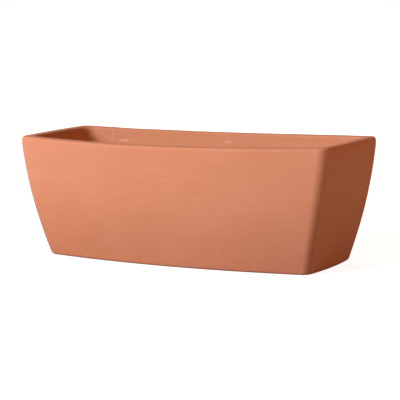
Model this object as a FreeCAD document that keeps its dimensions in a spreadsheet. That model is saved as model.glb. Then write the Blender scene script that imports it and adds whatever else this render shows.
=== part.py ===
import FreeCAD, Part
import math
import os

import Sketcher

# Terracotta window box, 500 mm long: one piece of pressed and fired clay.
# Frame: +X along the box, +Z up, origin on the ground under the middle of the box.
#
# Each outline is four shallow arcs joined by corner arcs. The outer walls are lofted through
# such outlines, so that they bow outwards when seen from above and curve inwards towards the
# base, the end walls more than the long ones. Above them the rim is an upright band, rounded
# over with its crest near the inner edge, and inside it straight walls taper down to the floor.

SIZES = {
    # overall, at the rim
    "length": 500,
    "width": 212,
    "height": 175,
    # how far a wall has come in from its place at the rim
    "end_inset_middle": 14.5,
    "end_inset_base": 35,
    "side_inset_middle": 4,
    "side_inset_base": 19,
    # how far the middle of a wall stands out from its two ends
    "side_bow_rim": 21.5,
    "side_bow_base": 21,
    "end_bow_rim": 6,
    "end_bow_base": 9.5,
    # upright corners
    "corner_rim": 23,
    "corner_base": 14,
    "inner_corner": 18,
    # thickness of the clay, and its rounded edges
    "wall": 17,
    "floor": 17,
    "rim_band": 12,
    "rim_round_outside": 10,
    "rim_round_inside": 4,
    "base_bevel": 4,
    "floor_bevel": 9,
    # standing rim round the shallow hollow in the underside
    "foot_width": 24,
    "foot_hollow": 2.5,
    # round drain holes along the middle of the floor
    "drain_diameter": 18,
    "drain_spacing": 150,
    "drain_count": 3,
    "drain_lip": 2,
}
WALL_TOP = "(sizes.height - sizes.rim_band)"
# depths below the rim band, as shares of the curved wall's height
RIM, BASE = "0", "1"
AT_FLOOR = f"(1 - sizes.floor / {WALL_TOP})"
AT_BEVEL = f"(1 - (sizes.floor + sizes.floor_bevel) / {WALL_TOP})"
WALL_DEPTHS = [RIM, "0.2", "0.4", "0.6", "0.8", BASE]
PAD, POCKET = "PartDesign::Pad", "PartDesign::Pocket"
FILLET, CHAMFER = "PartDesign::Fillet", "PartDesign::Chamfer"
MATCH = 1e-4  # mm, for telling which flat face lies at a height


def make_sheet(doc):
    sheet = doc.addObject("Spreadsheet::Sheet", "sizes")
    for row, (alias, value) in enumerate(SIZES.items(), start=1):
        sheet.set(f"A{row}", alias)
        sheet.set(f"B{row}", str(value))
        sheet.setAlias(f"B{row}", alias)
    doc.recompute()
    return sheet


def inset(wall, depth):
    """A parabola from nothing at the rim through the middle and base insets of a wall."""
    middle = f"sizes.{wall}_inset_middle"
    base = f"sizes.{wall}_inset_base"
    return f"((4 * {middle} - {base}) * {depth} + (2 * {base} - 4 * {middle}) * {depth} ^ 2)"


def graded(name, depth):
    """A size that changes evenly from its value at the rim to its value at the base."""
    return f"(sizes.{name}_rim + (sizes.{name}_base - sizes.{name}_rim) * {depth})"


def arc_radius(half_span, bow):
    return f"({half_span} ^ 2 + {bow} ^ 2) / (2 * {bow})"


def outline_formulas(depth, inward, corner_radius):
    """Sizes of the outline at a depth, drawn a distance inward of the outer surface."""
    half_length = f"(sizes.length / 2 - {inset('end', depth)})"
    half_width = f"(sizes.width / 2 - {inset('side', depth)})"
    side_radius = arc_radius(half_length, graded("side_bow", depth))
    end_radius = arc_radius(half_width, graded("end_bow", depth))
    return {
        "half_length": f"{half_length} - {inward}",
        "half_width": f"{half_width} - {inward}",
        "side_radius": f"{side_radius} - {inward}",
        "end_radius": f"{end_radius} - {inward}",
        "corner_radius": corner_radius,
    }


def origin_plane(body, role):
    return next(plane for plane in body.Origin.OriginFeatures if plane.Role == role)


def new_sketch(body, name, height="0"):
    """A level sketch at a height above the ground."""
    sketch = body.newObject("Sketcher::SketchObject", name)
    sketch.AttachmentSupport = [(origin_plane(body, "XY_Plane"), "")]
    sketch.MapMode = "FlatFace"
    sketch.setExpression("AttachmentOffset.Base.z", height)
    return sketch


def rough_sizes():
    """Sizes near those of every outline, for its arcs to start from."""
    half_length, half_width = SIZES["length"] / 2, SIZES["width"] / 2
    return {
        "half_length": half_length,
        "half_width": half_width,
        "side_radius": half_length**2 / (2 * SIZES["side_bow_rim"]),
        "end_radius": half_width**2 / (2 * SIZES["end_bow_rim"]),
        "corner_radius": SIZES["inner_corner"],
    }


def outline_arcs(half_length, half_width, side_radius, end_radius, corner_radius):
    """Centre, radius, start and end angle of the eight arcs, anticlockwise from the front."""
    side_y = side_radius - half_width
    end_x = half_length - end_radius
    corner_x = half_length - corner_radius - half_width**2 / (2 * end_radius)
    corner_y = half_width - corner_radius - half_length**2 / (2 * side_radius)
    side_half = math.atan2(corner_x, side_y + corner_y)
    end_half = math.atan2(corner_y, corner_x - end_x)
    quarter = math.pi / 2
    arcs = []
    for turn, sign in ((0, 1), (math.pi, -1)):
        front, right, back = turn - quarter, turn, turn + quarter
        arcs += [
            (0, sign * side_y, side_radius, front - side_half, front + side_half),
            (sign * corner_x, -sign * corner_y, corner_radius, front + side_half, right - end_half),
            (sign * end_x, 0, end_radius, right - end_half, right + end_half),
            (sign * corner_x, sign * corner_y, corner_radius, right + end_half, back - side_half),
        ]
    return arcs


def draw_outline(body, name, height, formulas):
    """A closed outline of eight tangent arcs, bound to the sizes by its formulas."""
    sketch = new_sketch(body, name, height)
    start = rough_sizes()
    for x, y, radius, first, last in outline_arcs(**start):
        circle = Part.Circle(FreeCAD.Vector(x, y, 0), FreeCAD.Vector(0, 0, 1), radius)
        sketch.addGeometry(Part.ArcOfCircle(circle, first, last), False)
    front, front_corner, right, _, back, _, left, _ = range(8)
    crests = [
        (front, 0, -start["half_width"]),
        (right, start["half_length"], 0),
        (back, 0, start["half_width"]),
        (left, -start["half_length"], 0),
    ]
    points = [
        sketch.addGeometry(Part.Point(FreeCAD.Vector(x, y, 0)), True) for _, x, y in crests
    ]
    x_axis, y_axis, origin = -1, -2, (-1, 1)
    rules = [("Tangent", arc, 2, (arc + 1) % 8, 1) for arc in range(8)]
    rules += [("PointOnObject", point, 1, crest[0]) for point, crest in zip(points, crests)]
    rules += [("PointOnObject", points[0], 1, y_axis), ("PointOnObject", points[1], 1, x_axis)]
    rules += [("Symmetric", points[k], 1, points[k + 2], 1, *origin) for k in (0, 1)]
    rules += [("PointOnObject", arc, 3, y_axis) for arc in (front, back)]
    rules += [("PointOnObject", arc, 3, x_axis) for arc in (right, left)]
    rules += [("Equal", front, back), ("Equal", right, left)]
    rules += [("Equal", arc, arc + 2) for arc in (1, 3, 5)]
    for rule in rules:
        sketch.addConstraint(Sketcher.Constraint(*rule))
    driven = {
        "half_length": ("DistanceX", *origin, points[1], 1),
        "half_width": ("DistanceY", points[0], 1, *origin),
        "side_radius": ("Radius", front),
        "end_radius": ("Radius", right),
        "corner_radius": ("Radius", front_corner),
    }
    for key, rule in driven.items():
        index = sketch.addConstraint(Sketcher.Constraint(*rule, start[key]))
        sketch.renameConstraint(index, key)
        sketch.setExpression(f"Constraints.{key}", formulas[key])
    return sketch


def add_pad(body, kind, name, outline, depth):
    """A straight pad or pocket, upwards from its outline."""
    feature = body.newObject(kind, name)
    feature.Profile = outline
    feature.Reversed = kind == POCKET
    feature.setExpression("Length", depth)
    body.Document.recompute()
    return feature


def add_loft(body, kind, name, outlines, ruled):
    loft = body.newObject(kind, name)
    loft.Profile = outlines[0]
    loft.Sections = outlines[1:]
    loft.Ruled = ruled
    body.Document.recompute()
    return loft


def wall_outline(body, name, depth, inward, corner_radius):
    """The outline at a depth, drawn at its own height."""
    height = f"{WALL_TOP} * (1 - {depth})"
    return draw_outline(body, name, height, outline_formulas(depth, inward, corner_radius))


def add_outer_walls(body):
    """The upright band at the rim, and the curved walls lofted down from it."""
    outlines = [
        wall_outline(body, f"wall_outline_{number}", depth, "0", graded("corner", depth))
        for number, depth in enumerate(WALL_DEPTHS, start=1)
    ]
    add_pad(body, PAD, "rim_band", outlines[0], "sizes.rim_band")
    add_loft(body, "PartDesign::AdditiveLoft", "outer_walls", outlines, False)


def add_cavity(body):
    """The upright mouth inside the rim, the straight tapering walls and the bevel they end in."""
    outlines = [
        wall_outline(body, name, depth, inward, "sizes.inner_corner")
        for name, depth, inward in (
            ("mouth_outline", RIM, "sizes.wall"),
            ("bevel_outline", AT_BEVEL, "sizes.wall"),
            ("floor_outline", AT_FLOOR, "(sizes.wall + sizes.floor_bevel)"),
        )
    ]
    add_pad(body, POCKET, "mouth", outlines[0], "sizes.rim_band")
    add_loft(body, "PartDesign::SubtractiveLoft", "cavity", outlines, True)


def add_foot_hollow(body):
    corner = "max(sizes.corner_base - sizes.foot_width; sizes.inner_corner)"
    formulas = outline_formulas(BASE, "sizes.foot_width", corner)
    outline = draw_outline(body, "foot_hollow_outline", "0", formulas)
    add_pad(body, POCKET, "foot_hollow", outline, "sizes.foot_hollow")


def add_drains(body):
    """A row of round holes through the floor, cut one by one from the first."""
    sketch = new_sketch(body, "drain_circle")
    radius = SIZES["drain_diameter"] / 2
    place = FreeCAD.Vector(-SIZES["drain_spacing"], 0, 0)
    sketch.addGeometry(Part.Circle(place, FreeCAD.Vector(0, 0, 1), radius), False)
    sketch.addConstraint(Sketcher.Constraint("PointOnObject", 0, 3, -1))
    driven = {
        "diameter": ("Diameter", 0, 2 * radius),
        "row_start": ("DistanceX", 0, 3, -1, 1, -place.x),
    }
    formulas = {
        "diameter": "sizes.drain_diameter",
        "row_start": "sizes.drain_spacing * (sizes.drain_count - 1) / 2",
    }
    for key, rule in driven.items():
        index = sketch.addConstraint(Sketcher.Constraint(*rule))
        sketch.renameConstraint(index, key)
        sketch.setExpression(f"Constraints.{key}", formulas[key])
    hole = add_pad(body, POCKET, "drain_hole", sketch, "sizes.floor")
    row = body.newObject("PartDesign::LinearPattern", "drain_holes")
    row.Originals = [hole]
    row.Direction = (sketch, ["H_Axis"])
    row.setExpression("Length", "sizes.drain_spacing * (sizes.drain_count - 1)")
    row.setExpression("Occurrences", "sizes.drain_count")
    body.Tip = row
    body.Document.recompute()
    return row


def level_face(shape, height):
    """The flat level face at a height."""
    for face in shape.Faces:
        box = face.BoundBox
        if abs(box.ZMin - height) < MATCH and abs(box.ZMax - height) < MATCH:
            return face
    raise RuntimeError(f"no flat face at height {height}")


def edge_names(shape, wires):
    picked = [edge for wire in wires for edge in wire.Edges]
    return [
        f"Edge{number}"
        for number, edge in enumerate(shape.Edges, start=1)
        if any(edge.isSame(other) for other in picked)
    ]


def trim_edges(body, kind, name, height, outer, size):
    """Rounds or bevels the outer boundary of the level face at a height, or those inside it."""
    base = body.Tip
    face = level_face(base.Shape, height)
    inside = [wire for wire in face.Wires if not wire.isSame(face.OuterWire)]
    trim = body.newObject(kind, name)
    trim.Base = (base, edge_names(base.Shape, [face.OuterWire] if outer else inside))
    trim.setExpression("Radius" if kind == FILLET else "Size", size)
    body.Document.recompute()
    return trim


def make_terracotta_box(doc, sheet):
    body = doc.addObject("PartDesign::Body", "terracotta_box")
    body.Label = "terracotta_box"
    add_outer_walls(body)
    add_cavity(body)
    rim, floor = sheet.height, sheet.floor
    trim_edges(body, FILLET, "rim_round_outside", rim, True, "sizes.rim_round_outside")
    trim_edges(body, FILLET, "rim_round_inside", rim, False, "sizes.rim_round_inside")
    trim_edges(body, CHAMFER, "base_bevel", 0, True, "sizes.base_bevel")
    add_foot_hollow(body)
    add_drains(body)
    trim_edges(body, CHAMFER, "drain_lips", floor, False, "sizes.drain_lip")
    body.Placement = FreeCAD.Placement()
    return body


def check(doc, parts):
    doc.recompute()
    for item in doc.Objects:
        if {"Invalid", "Error"} & set(item.State):
            raise RuntimeError(f"{item.Name} failed: {item.State}")
    for part in parts:
        if part.Shape.isNull() or not part.Shape.isValid() or len(part.Shape.Solids) != 1:
            raise RuntimeError(f"{part.Label} is not one valid solid")


def main():
    doc = FreeCAD.newDocument("window_box")
    sheet = make_sheet(doc)
    parts = [make_terracotta_box(doc, sheet)]
    check(doc, parts)
    os.makedirs("parts", exist_ok=True)
    for part in parts:
        part.Shape.exportStep(os.path.join("parts", f"{part.Label}.step"))
        litres = part.Shape.Volume / 1e6
        print(f"{part.Label}: {litres:.3f} litres of clay, {len(part.Shape.Faces)} faces")


main()
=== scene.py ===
import math

import bmesh
import bpy
from mathutils import Matrix, Vector, geometry, noise


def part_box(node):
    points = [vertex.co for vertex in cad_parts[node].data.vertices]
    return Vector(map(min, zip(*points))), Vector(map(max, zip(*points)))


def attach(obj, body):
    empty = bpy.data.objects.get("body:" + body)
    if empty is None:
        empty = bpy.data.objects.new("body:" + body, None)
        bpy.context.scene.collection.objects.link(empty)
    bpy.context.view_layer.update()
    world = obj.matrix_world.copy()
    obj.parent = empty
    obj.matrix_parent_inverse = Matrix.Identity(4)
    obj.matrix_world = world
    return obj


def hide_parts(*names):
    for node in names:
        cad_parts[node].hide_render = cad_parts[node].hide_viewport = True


# Terracotta window box: one piece of pressed and fired clay. Metres, +X along the box, +Z up.

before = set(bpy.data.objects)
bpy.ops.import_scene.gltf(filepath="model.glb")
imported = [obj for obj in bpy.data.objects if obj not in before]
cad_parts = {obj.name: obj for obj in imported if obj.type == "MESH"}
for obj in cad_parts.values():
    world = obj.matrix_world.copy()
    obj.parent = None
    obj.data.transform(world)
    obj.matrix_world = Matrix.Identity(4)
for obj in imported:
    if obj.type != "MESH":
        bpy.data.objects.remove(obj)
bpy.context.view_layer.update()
cad_low, cad_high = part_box("terracotta_box")
LENGTH, WIDTH, HEIGHT = cad_high - cad_low

# ---------------------------------------------------------------- sizes of the box
WALL = 0.017
FLOOR = 0.017
RIM_BAND = 0.012
ROUND_OUTSIDE = 0.0055
ROUND_INSIDE = 0.004
FOOT_ROUND = 0.004
FLOOR_COVE = 0.013
INNER_CORNER = 0.018
FOOT_WIDTH = 0.024
FOOT_HOLLOW = 0.0025
DRAIN_RADIUS = 0.009
DRAIN_LIP = 0.002
DRAIN_PLACES = (-0.15, 0.0, 0.15)
WALL_TOP = HEIGHT - RIM_BAND

# how far a wall has come in from its place at the rim: half way down, and at the base
END_INSET = (0.0145, 0.035)
SIDE_INSET = (0.004, 0.019)
# at the rim, and at the base
SIDE_BOW = (0.0215, 0.021)
END_BOW = (0.006, 0.0095)
OUTER_CORNER = (0.0165, 0.0135)
CREST_CORNER = 0.014
# the step from the foot up into the hollow: distance past the foot's width, share of the depth
FOOT_STEP = ((0.0015, 1), (0.0004, 0.75), (0, 0.3), (-0.0008, 0))

# ---------------------------------------------------------------- mesh density
SIDE_STEPS, END_STEPS, CORNER_STEPS = 160, 58, 14
WALL_ROWS, CAVITY_ROWS, FOOT_ROWS = 64, 56, 5
ROUND_ROWS, RIM_ROUND_ROWS = 8, 12
DRAIN_STEPS, DRAIN_LIP_ROWS, DRAIN_ROWS = 48, 6, 4
FLOOR_GRID = 0.006  # spacing of the points across a flat face
GRID_ROW = 0.87  # distance between its rows, as a share of the spacing
GRID_MARGIN = 0.7  # distance kept from an edge, as a share of the spacing
CDT_FULL, CDT_NEAR = 1, 1e-7  # triangulation: keep the faces in the outline, merge nearer points
SAME_POINT = 1e-6

# ---------------------------------------------------------------- handwork in the clay
RIM_SAG = 0.0048
WOBBLES = ((0.13, 0.0007), (0.045, 0.00025), (0.014, 0.00008))  # wavelength, height
WOBBLE_SHIFT = Vector((7.3, 3.1, 5.7))  # moves each scale to its own part of the noise
FLAT_BELOW, WOBBLE_FADE = 0.001, 0.006  # the foot stands flat, and the handwork grows above it


# ================================================================ outlines
def graded(ends, depth):
    """A value at a depth, from its values at the rim and at the base."""
    return ends[0] + (ends[1] - ends[0]) * depth


def inset(ends, depth):
    """A parabola from nothing at the rim through the middle and base insets."""
    middle, base = ends
    return (4 * middle - base) * depth + (2 * base - 4 * middle) * depth**2


def arc_radius(half_span, bow):
    """The radius of an arc from half its span and its height."""
    return (half_span**2 + bow**2) / (2 * bow)


def arc_points(centre, radius, first, last, steps):
    """Points along an arc, without its last one."""
    angles = (first + (last - first) * step / steps for step in range(steps))
    return [
        Vector((centre[0] + radius * math.cos(a), centre[1] + radius * math.sin(a))) for a in angles
    ]


def outline(depth, inward, corner=None):
    """The ring of eight tangent arcs at a depth below the rim band, as points in the plane."""
    if corner is None:
        corner = graded(OUTER_CORNER, depth) - inward
    half_length = LENGTH / 2 - inset(END_INSET, depth)
    half_width = WIDTH / 2 - inset(SIDE_INSET, depth)
    side_radius = arc_radius(half_length, graded(SIDE_BOW, depth)) - inward
    end_radius = arc_radius(half_width, graded(END_BOW, depth)) - inward
    half_length -= inward
    half_width -= inward
    side_y = side_radius - half_width
    end_x = half_length - end_radius
    # a corner arc touches the side arc and the end arc from inside
    corner_x, corner_y = circles_meet(
        (0, -side_y), side_radius - corner, (end_x, 0), end_radius - corner
    )
    side_half = math.atan2(corner_x, corner_y + side_y)
    end_half = math.atan2(corner_y, corner_x - end_x)
    quarter = math.pi / 2
    points = []
    for turn, sign in ((0, 1), (math.pi, -1)):
        stops = (
            turn - quarter - side_half,
            turn - quarter + side_half,
            turn - end_half,
            turn + end_half,
            turn + quarter - side_half,
        )
        arcs = (
            ((0, sign * side_y), side_radius, SIDE_STEPS),
            ((sign * corner_x, -sign * corner_y), corner, CORNER_STEPS),
            ((sign * end_x, 0), end_radius, END_STEPS),
            ((sign * corner_x, sign * corner_y), corner, CORNER_STEPS),
        )
        for (centre, radius, steps), first, last in zip(arcs, stops, stops[1:]):
            points += arc_points(centre, radius, first, last, steps)
    return points


def circles_meet(centre_a, radius_a, centre_b, radius_b):
    """Where two circles cross, in the quarter with both coordinates above zero."""
    a, b = Vector(centre_a), Vector(centre_b)
    gap = (b - a).length
    along = (radius_a**2 - radius_b**2 + gap**2) / (2 * gap)
    aside = math.sqrt(radius_a**2 - along**2)
    forward = (b - a) / gap
    sideways = Vector((-forward.y, forward.x))
    meets = [a + forward * along + sideways * aside * side for side in (1, -1)]
    return max(meets, key=lambda point: point.x + point.y)


# ================================================================ rows of the wall
def lift(ring, height):
    """A ring of the plane, at a height."""
    return [Vector((point.x, point.y, height)) for point in ring]


def blend_rings(ring_a, ring_b, share):
    """The ring that lies a share of the way from one ring to another."""
    return [a.lerp(b, share) for a, b in zip(ring_a, ring_b)]


def depth_at(height):
    """0 at the rim band and above it, and 1 at the base."""
    return max(0.0, 1 - height / WALL_TOP)


def quarter_turn(steps):
    """Angles over a quarter turn, without the first."""
    return [math.pi / 2 * step / steps for step in range(1, steps + 1)]


def foot_rows():
    """From the hollow underside, out over the standing rim and round to the outer wall."""
    rows = [
        lift(outline(1, FOOT_WIDTH + inward, INNER_CORNER), FOOT_HOLLOW * share)
        for inward, share in FOOT_STEP
    ]
    inner_edge = outline(1, FOOT_WIDTH + FOOT_STEP[-1][0], INNER_CORNER)
    outer_edge = outline(1, FOOT_ROUND)
    rows += [
        lift(blend_rings(inner_edge, outer_edge, step / FOOT_ROWS), 0) for step in range(1, FOOT_ROWS)
    ]
    for angle in [0, *quarter_turn(ROUND_ROWS)]:
        inward, height = FOOT_ROUND * (1 - math.sin(angle)), FOOT_ROUND * (1 - math.cos(angle))
        rows.append(lift(outline(depth_at(height), inward), height))
    return rows


def outer_rows():
    """The outer wall, from the round at its foot to the rim band."""
    rise = WALL_TOP - FOOT_ROUND
    heights = [FOOT_ROUND + rise * row / WALL_ROWS for row in range(1, WALL_ROWS + 1)]
    return [lift(outline(depth_at(height), 0), height) for height in heights]


def rim_rows():
    """The band, the outer round, the flat crest and the inner round."""
    shoulder = HEIGHT - ROUND_OUTSIDE
    rows = [lift(outline(0, 0), shoulder)]
    for angle in quarter_turn(RIM_ROUND_ROWS):
        inward = ROUND_OUTSIDE * (1 - math.cos(angle))
        rows.append(lift(outline(0, inward), shoulder + ROUND_OUTSIDE * math.sin(angle)))
    inner_edge = outline(0, WALL, INNER_CORNER)
    crest_edge = outline(0, WALL - ROUND_INSIDE, CREST_CORNER)
    for angle in [0, *quarter_turn(ROUND_ROWS)]:
        ring = blend_rings(crest_edge, inner_edge, math.sin(angle))
        rows.append(lift(ring, HEIGHT - ROUND_INSIDE * (1 - math.cos(angle))))
    return rows


def cavity_rows():
    """The straight inner wall from the rim to the cove, and the cove down to the floor."""
    mouth = outline(0, WALL, INNER_CORNER)
    cove_top = outline(depth_at(FLOOR + FLOOR_COVE), WALL, INNER_CORNER)
    cove_foot = outline(depth_at(FLOOR), WALL + FLOOR_COVE, INNER_CORNER)
    drop = WALL_TOP - FLOOR - FLOOR_COVE
    rows = [
        lift(blend_rings(mouth, cove_top, row / CAVITY_ROWS), WALL_TOP - drop * row / CAVITY_ROWS)
        for row in range(CAVITY_ROWS + 1)
    ]
    for angle in quarter_turn(ROUND_ROWS):
        ring = blend_rings(cove_top, cove_foot, 1 - math.cos(angle))
        rows.append(lift(ring, FLOOR + FLOOR_COVE * (1 - math.sin(angle))))
    return rows


def drain_ring(place, radius, height):
    """A circle round the drain hole at a place along the box."""
    turn = 2 * math.pi / DRAIN_STEPS
    return [
        Vector((place + radius * math.cos(turn * k), radius * math.sin(turn * k), height))
        for k in range(DRAIN_STEPS)
    ]


def drain_rows(place):
    """From the floor, over the worn lip and down through the clay."""
    rows = []
    for angle in [0, *quarter_turn(DRAIN_LIP_ROWS)]:
        radius = DRAIN_RADIUS + DRAIN_LIP * (1 - math.sin(angle))
        rows.append(drain_ring(place, radius, FLOOR - DRAIN_LIP * (1 - math.cos(angle))))
    bore = FLOOR - DRAIN_LIP - FOOT_HOLLOW
    for step in reversed(range(DRAIN_ROWS)):
        rows.append(drain_ring(place, DRAIN_RADIUS, FOOT_HOLLOW + bore * step / DRAIN_ROWS))
    return rows


# ================================================================ mesh
def add_strip(mesh, rows):
    """Quads between rings that follow one another."""
    rings = [[mesh.verts.new(point) for point in row] for row in rows]
    for lower, upper in zip(rings, rings[1:]):
        for k in range(len(lower)):
            after = (k + 1) % len(lower)
            mesh.faces.new((lower[k], lower[after], upper[after], upper[k]))


def inside(point, ring):
    """True if a point lies inside a ring that has no hollows."""
    return all(
        (b.x - a.x) * (point.y - a.y) - (b.y - a.y) * (point.x - a.x) > 0
        for a, b in zip(ring, ring[1:] + ring[:1])
    )


def middle_of(points):
    return sum(points, Vector((0, 0))) / len(points)


def grid_points(boundary, holes):
    """A staggered grid of points inside a ring and outside its round holes."""
    margin = FLOOR_GRID * GRID_MARGIN
    shrunk = [p * (1 - margin / p.length) for p in boundary]
    half_columns = int(LENGTH / FLOOR_GRID) // 2
    half_rows = int(WIDTH / FLOOR_GRID) // 2
    points = []
    for i in range(-half_columns - 1, half_columns + 1):
        for j in range(-half_rows - 1, half_rows + 1):
            x = i * FLOOR_GRID + (j % 2) * FLOOR_GRID / 2
            point = Vector((x, j * FLOOR_GRID * GRID_ROW))
            clear = all((point - middle).length > radius + margin for middle, radius in holes)
            if clear and inside(point, shrunk):
                points.append(point)
    return points


def add_sheet(mesh, boundary, drains, height, upward):
    """A flat triangulated face inside a ring, with round holes and a grid of points between."""
    loops = [[Vector((p.x, p.y)) for p in loop] for loop in (boundary, *drains)]
    edges, start = [], 0
    for loop in loops:
        edges += [(start + k, start + (k + 1) % len(loop)) for k in range(len(loop))]
        start += len(loop)
    holes = [
        (middle_of(loop), (loop[0] - loop[len(loop) // 2]).length / 2) for loop in loops[1:]
    ]
    coords = [point for loop in loops for point in loop] + grid_points(loops[0], holes)
    points, _, faces, *_ = geometry.delaunay_2d_cdt(coords, edges, [], CDT_FULL, CDT_NEAR)
    verts = [mesh.verts.new((p.x, p.y, height)) for p in points]
    for face in faces:
        middle = middle_of([points[k] for k in face])
        if any((middle - centre).length < radius for centre, radius in holes):
            continue
        order = face if upward else list(reversed(face))
        mesh.faces.new([verts[k] for k in order])


def wobble(point):
    """Height of the handwork at a point, smooth at several scales."""
    height = 0
    for number, (wavelength, amount) in enumerate(WOBBLES):
        height += amount * noise.noise(point / wavelength + WOBBLE_SHIFT * number)
    return height


def soften(mesh):
    """Lets the rim sag between its corners and gives the surface its handwork."""
    mesh.normal_update()
    moves = []
    for vert in mesh.verts:
        rise = max(0, vert.co.z / HEIGHT)
        along = 1 - (2 * vert.co.x / LENGTH) ** 2
        standing = min(1, max(0, vert.co.z - FLAT_BELOW) / WOBBLE_FADE)
        move = vert.normal * wobble(vert.co) * standing
        move.z -= RIM_SAG * rise**2 * max(0, along)
        moves.append(move)
    for vert, move in zip(mesh.verts, moves):
        vert.co += move
        vert.co.z = max(0, vert.co.z)


def make_box():
    """The whole box as one closed mesh."""
    mesh = bmesh.new()
    wall = foot_rows() + outer_rows() + rim_rows() + cavity_rows()
    drains = [drain_rows(place) for place in DRAIN_PLACES]
    for rows in (wall, *drains):
        add_strip(mesh, rows)
    add_sheet(mesh, wall[-1], [rows[0] for rows in drains], FLOOR, True)
    add_sheet(mesh, wall[0], [rows[-1] for rows in drains], FOOT_HOLLOW, False)
    bmesh.ops.remove_doubles(mesh, verts=mesh.verts, dist=SAME_POINT)
    bmesh.ops.recalc_face_normals(mesh, faces=mesh.faces)
    soften(mesh)
    data = bpy.data.meshes.new("terracotta_box_visual")
    mesh.to_mesh(data)
    mesh.free()
    data.polygons.foreach_set("use_smooth", [True] * len(data.polygons))
    piece = bpy.data.objects.new("terracotta_window_box", data)
    bpy.context.scene.collection.objects.link(piece)
    return piece


# ================================================================ materials
class Nodes:
    """Short calls for building a node tree."""

    def __init__(self, tree):
        self.tree = tree
        tree.nodes.clear()

    def add(self, kind, inputs=None, **settings):
        """A node, with its settings made and its inputs fed."""
        node = self.tree.nodes.new(kind)
        for key, value in settings.items():
            setattr(node, key, value)
        for key, value in (inputs or {}).items():
            self.feed(node.inputs[key], value)
        return node

    def feed(self, socket, value):
        """Links a socket to an output, or gives it a plain value."""
        if isinstance(value, bpy.types.NodeSocket):
            self.tree.links.new(value, socket)
        else:
            socket.default_value = value

    def math(self, operation, *values):
        return self.add("ShaderNodeMath", dict(enumerate(values)), operation=operation).outputs[0]

    def vector_math(self, operation, *values):
        """The outputs of a vector operation: Vector, or Value for a length or a dot product."""
        return self.add("ShaderNodeVectorMath", dict(enumerate(values)), operation=operation).outputs

    def noise(self, place, scale, detail=3, roughness=0.55):
        node = self.add(
            "ShaderNodeTexNoise",
            {"Vector": place, "Scale": scale, "Detail": detail, "Roughness": roughness},
        )
        return node.outputs["Fac"]

    def fade(self, value, low, high, to_low=0.0, to_high=1.0):
        """A smooth step from one level to another as a value goes from low to high."""
        node = self.add(
            "ShaderNodeMapRange",
            {"Value": value, "From Min": low, "From Max": high, "To Min": to_low, "To Max": to_high},
            interpolation_type="SMOOTHSTEP",
        )
        return node.outputs["Result"]

    def mix(self, share, a, b):
        """A share of colour b over colour a."""
        node = self.add("ShaderNodeMix", {"Factor": share}, data_type="RGBA")
        colour_a, colour_b = [s for s in node.inputs if s.type == "RGBA"]
        self.feed(colour_a, a)
        self.feed(colour_b, b)
        return next(s for s in node.outputs if s.type == "RGBA")

    def finish(self, output_kind, shader):
        """Ends the tree with its output node."""
        self.add(output_kind, {"Surface": shader.outputs[0]})


def new_material(name):
    """A material and its empty node tree."""
    material = bpy.data.materials.new(name)
    material.use_nodes = True
    return material, Nodes(material.node_tree)


# ---------------------------------------------------------------- fired clay
CLAY = (0.70, 0.27, 0.155, 1)
CLAY_PALE = (0.77, 0.335, 0.215, 1)
CLAY_DEEP = (0.62, 0.215, 0.11, 1)
# painted shade: a deeper clay towards the base, standing in for the lower wall leaning away from the
# light
CLAY_BASE_SHADE = (0.52, 0.175, 0.09, 1)
# painted shade: the inner faces of the walls a shade deeper, standing in for the dimmer light inside
# the hollow
CLAY_INSIDE_SHADE = (0.60, 0.25, 0.142, 1)
# painted shade: the up-facing crest of the rim darker, standing in for a top in shade under a low key
# light
CLAY_CREST_SHADE = (0.42, 0.14, 0.072, 1)
CLAY_SLIP = (0.86, 0.47, 0.34, 1)

CLOUD_SCALE, PATCH_SCALE, GRAIN_SCALE = 7, 38, 520
STREAK_SCALES = (7, 7, 330)  # long round the box and narrow up its walls
EVENNESS = 0.78  # how far the clouds give way to plain clay
# painted shade near the base: the height where it starts, and its strongest share
BASE_SHADE_HEIGHT, BASE_SHADE_SHARE = 0.13, 0.6  # the clay darkens from here down to the base
# painted shade inside the hollow: how it fades in across the wall, and its strongest share
INSIDE_SHADE_DEPTH, INSIDE_SHADE_SHARE = 0.04, 0.9
# painted shade on the crest: which faces, how deep below the top, and its strongest share
CREST_SHADE_SLOPES, CREST_SHADE_SHARE = (0.76, 0.96), 0.75  # how far up a face looks
CREST_SHADE_DEPTHS = (0.010, 0.008)  # below the top of the box
ROUGHNESS, ROUGHNESS_SPREAD = 0.8, 0.12
SHEEN = 0.25
GRAIN_RELIEF, RELIEF_STRENGTH, RELIEF_HEIGHT = 0.6, 0.4, 0.0007
# pale traces of dried slip on the inner face of the back wall: middle, reach and strength
SLIP_MARKS = (
    ((-0.1885, 0.082, 0.162), (0.0011, 0.02, 0.0095), 0.55),
    ((-0.170, 0.082, 0.1545), (0.0125, 0.02, 0.0022), 0.5),
    ((0.0055, 0.087, 0.157), (0.0095, 0.02, 0.0024), 0.4),
)
MARK_CORE = 0.3  # the share of its reach over which a mark is at full strength


def slip_mark(n, place, middle, reach):
    """1 near a mark's middle, fading to 0 at its reach along each axis."""
    shift = n.vector_math("SUBTRACT", place, middle)["Vector"]
    scaled = n.vector_math("DIVIDE", shift, reach)["Vector"]
    away = n.vector_math("LENGTH", scaled)["Value"]
    return n.fade(away, 1.0, MARK_CORE)


def face_direction(n):
    return n.add("ShaderNodeNewGeometry").outputs["True Normal"]


def inner_shade(n, place):
    """The share of painted shade: up to its full share on the inner faces of the walls, and 0 on
    their outer faces.
    """
    outward = n.vector_math("MULTIPLY", place, (1, 1, 0))["Vector"]
    facing = n.vector_math("DOT_PRODUCT", face_direction(n), outward)["Value"]
    return n.fade(facing, 0.0, -INSIDE_SHADE_DEPTH, 0.0, INSIDE_SHADE_SHARE)


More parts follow.
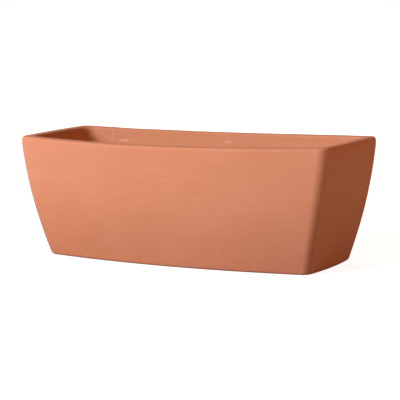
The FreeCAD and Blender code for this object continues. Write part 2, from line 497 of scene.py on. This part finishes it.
def crest_shade(n, height):
    """Painted shade on the flat crest of the rim: above 0 where the rim faces straight up."""
    upward = n.add("ShaderNodeSeparateXYZ", {0: face_direction(n)}).outputs["Z"]
    at_rim = n.fade(height, *(HEIGHT - depth for depth in CREST_SHADE_DEPTHS))
    return n.math("MULTIPLY", at_rim, n.fade(upward, *CREST_SHADE_SLOPES, 0.0, CREST_SHADE_SHARE))


def clay_colour(n, place, patch, grain, streak):
    """Clay in its tones: clouds, painted shade on the inside, at the base and on the crest, then the
    fine marks.
    """
    height = n.add("ShaderNodeSeparateXYZ", {0: place}).outputs["Z"]
    cloud = n.noise(place, CLOUD_SCALE)
    colour = n.mix(n.fade(cloud, 0.3, 0.7), CLAY_DEEP, CLAY_PALE)
    layers = [
        (EVENNESS, CLAY),
        # painted shade on the inner faces
        (inner_shade(n, place), CLAY_INSIDE_SHADE),
        # painted shade towards the base
        (n.fade(height, BASE_SHADE_HEIGHT, 0, 0, BASE_SHADE_SHARE), CLAY_BASE_SHADE),
        # painted shade on the crest of the rim
        (crest_shade(n, height), CLAY_CREST_SHADE),
        (n.fade(patch, 0.35, 0.75, 0, 0.16), CLAY_PALE),
        (n.fade(streak, 0.38, 0.66, 0, 0.2), CLAY_DEEP),
        (n.fade(grain, 0.55, 0.72, 0, 0.3), CLAY_PALE),
    ]
    for middle, reach, strength in SLIP_MARKS:
        share = n.math("MULTIPLY", slip_mark(n, place, middle, reach), strength)
        layers.append((share, CLAY_SLIP))
    for share, tone in layers:
        colour = n.mix(share, colour, tone)
    return colour


def terracotta():
    """Matt fired clay, with clouds, patches, grain and the streaks of wiping."""
    material, n = new_material("fired_terracotta")
    place = n.add("ShaderNodeTexCoord").outputs["Object"]
    patch = n.noise(place, PATCH_SCALE, detail=5)
    grain = n.noise(place, GRAIN_SCALE)
    stretched = n.vector_math("MULTIPLY", place, STREAK_SCALES)["Vector"]
    streak = n.noise(stretched, 1, detail=4, roughness=0.65)
    relief = n.math("ADD", n.math("MULTIPLY", grain, GRAIN_RELIEF), streak)
    relief = n.math("ADD", relief, patch)
    bump = n.add(
        "ShaderNodeBump",
        {"Strength": RELIEF_STRENGTH, "Distance": RELIEF_HEIGHT, "Height": relief},
    )
    inputs = {
        "Base Color": clay_colour(n, place, patch, grain, streak),
        "Roughness": n.math("ADD", ROUGHNESS, n.math("MULTIPLY", patch, ROUGHNESS_SPREAD)),
        "Normal": bump.outputs[0],
        "Specular IOR Level": SHEEN,
    }
    n.finish("ShaderNodeOutputMaterial", n.add("ShaderNodeBsdfPrincipled", inputs))
    return material


# ---------------------------------------------------------------- white surroundings
WHITE = (1, 1, 1, 1)
FLOOR_TONES = ((0.36, 0.36, 0.36, 1), (0.38, 0.38, 0.38, 1))
FLOOR_CLOUD_SCALE = 3
FLOOR_GLOW = (0.9, 1.0)  # near the box, and far from it
GLOW_REACH = (0.7, 1.6)  # the distances from the box between which it passes over
UNDER_BOX = (0.205, 0.078)  # half sizes of the floor that the box covers
UNDER_BOX_POWER = 4  # the covered floor is an oblong with rounded corners
UNDER_BOX_EDGE = (0.8, 1.0)


def seen_directly(n):
    """1 for rays from the camera, and for glossy and clear surfaces that show the background."""
    path = n.add("ShaderNodeLightPath")
    seen = n.math("MAXIMUM", path.outputs["Is Camera Ray"], path.outputs["Is Glossy Ray"])
    return n.math("MAXIMUM", seen, path.outputs["Is Transmission Ray"])


def open_floor(n, place):
    """0 under the box, and 1 where the floor lies open."""
    axes = n.add("ShaderNodeSeparateXYZ", {0: place}).outputs
    spans = []
    for name, half in zip("XY", UNDER_BOX):
        span = n.math("DIVIDE", n.math("ABSOLUTE", axes[name]), half)
        spans.append(n.math("POWER", span, UNDER_BOX_POWER))
    return n.fade(n.math("ADD", *spans), *UNDER_BOX_EDGE)


def studio_floor():
    """A pale floor that reads as white paper, except under the box."""
    material, n = new_material("studio_floor")
    place = n.add("ShaderNodeTexCoord").outputs["Object"]
    tone = n.mix(n.noise(place, FLOOR_CLOUD_SCALE), *FLOOR_TONES)
    away = n.vector_math("LENGTH", place)["Value"]
    level = n.math("MULTIPLY", open_floor(n, place), n.fade(away, *GLOW_REACH, *FLOOR_GLOW))
    strength = n.math("MULTIPLY", seen_directly(n), level)
    matte = n.add("ShaderNodeBsdfDiffuse", {"Color": tone})
    glow = n.add("ShaderNodeEmission", {"Color": WHITE, "Strength": strength})
    both = n.add("ShaderNodeAddShader", {0: matte.outputs[0], 1: glow.outputs[0]})
    n.finish("ShaderNodeOutputMaterial", both)
    return material


# ================================================================ studio
FILL = (0.035, 0.022, 0.012, 1)
FLOOR_SIZE = 16
# name, azimuth and elevation in degrees, distance, width, watts and colour
LAMPS = (
    ("key_light", -29.5, 27, 4.5, 2.2, 239, (0.985, 0.975, 0.95)),
    ("warm_side_light", 92, 20, 2.5, 1.2, 13.2, (1.0, 0.45, 0.1)),
    ("back_light", -150, 35, 3.0, 2.4, 34, (1.0, 0.9, 0.8)),
)
CAMERA_AZIMUTH, CAMERA_PITCH, CAMERA_ROLL = 30.2, 7.92, -1.16
CAMERA_DISTANCE = 2.252
CAMERA_LENS, CAMERA_SENSOR = 141.9, 36
AIM_RIGHT, AIM_UP = 0.00572, -0.00537
CENTRE = Vector((0, 0, HEIGHT / 2))


def make_world():
    """White where it is seen, and a dim warm fill where it lights the box."""
    world = bpy.data.worlds.new("studio")
    bpy.context.scene.world = world
    world.use_nodes = True
    n = Nodes(world.node_tree)
    fill = n.add("ShaderNodeBackground", {"Color": FILL, "Strength": 1.0})
    paper = n.add("ShaderNodeBackground", {"Color": WHITE, "Strength": 1.0})
    inputs = {0: seen_directly(n), 1: fill.outputs[0], 2: paper.outputs[0]}
    n.finish("ShaderNodeOutputWorld", n.add("ShaderNodeMixShader", inputs))


def direction(azimuth, elevation):
    """From the box towards an azimuth, 0 in front and 90 at its right end, and an elevation."""
    a, e = math.radians(azimuth), math.radians(elevation)
    return Vector((math.sin(a) * math.cos(e), -math.cos(a) * math.cos(e), math.sin(e)))


def make_lamp(name, azimuth, elevation, distance, size, power, colour):
    """A square lamp that looks at the box."""
    away = direction(azimuth, elevation)
    light = bpy.data.lights.new(name, "AREA")
    light.shape = "SQUARE"
    light.size = size
    light.energy = power
    light.color = colour
    lamp = bpy.data.objects.new(name, light)
    lamp.location = CENTRE + away * distance
    lamp.rotation_mode = "QUATERNION"
    lamp.rotation_quaternion = (-away).to_track_quat("-Z", "Y")
    bpy.context.scene.collection.objects.link(lamp)


def make_floor():
    bpy.ops.mesh.primitive_plane_add(size=FLOOR_SIZE, location=(0, 0, 0))
    floor = bpy.context.object
    floor.name = "studio_floor"
    floor.data.materials.append(studio_floor())


def level_axes(back):
    """The level axis to the right and the axis upwards, for a view from a direction."""
    right = Vector((0, 0, 1)).cross(back).normalized()
    return right, back.cross(right)


def make_camera():
    """Looks down on the box from its front right, a little rolled."""
    back = direction(CAMERA_AZIMUTH, CAMERA_PITCH)
    right, up = level_axes(back)
    place = CENTRE + back * CAMERA_DISTANCE
    target = CENTRE + right * AIM_RIGHT + up * AIM_UP
    back = (place - target).normalized()
    right, up = level_axes(back)
    roll = math.radians(CAMERA_ROLL)
    tilted_right = right * math.cos(roll) + up * math.sin(roll)
    tilted_up = up * math.cos(roll) - right * math.sin(roll)
    data = bpy.data.cameras.new("camera")
    data.lens = CAMERA_LENS
    data.sensor_width = CAMERA_SENSOR
    camera = bpy.data.objects.new("camera", data)
    axes = Matrix((tilted_right, tilted_up, back)).transposed()
    camera.matrix_world = Matrix.Translation(place) @ axes.to_4x4()
    bpy.context.scene.collection.objects.link(camera)
    bpy.context.scene.camera = camera


# ================================================================ the scene
box = make_box()
box.data.materials.append(terracotta())
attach(box, "root")
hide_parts("terracotta_box")

make_floor()
make_world()
for lamp_settings in LAMPS:
    make_lamp(*lamp_settings)
make_camera()
bpy.context.scene.view_settings.view_transform = "Standard"
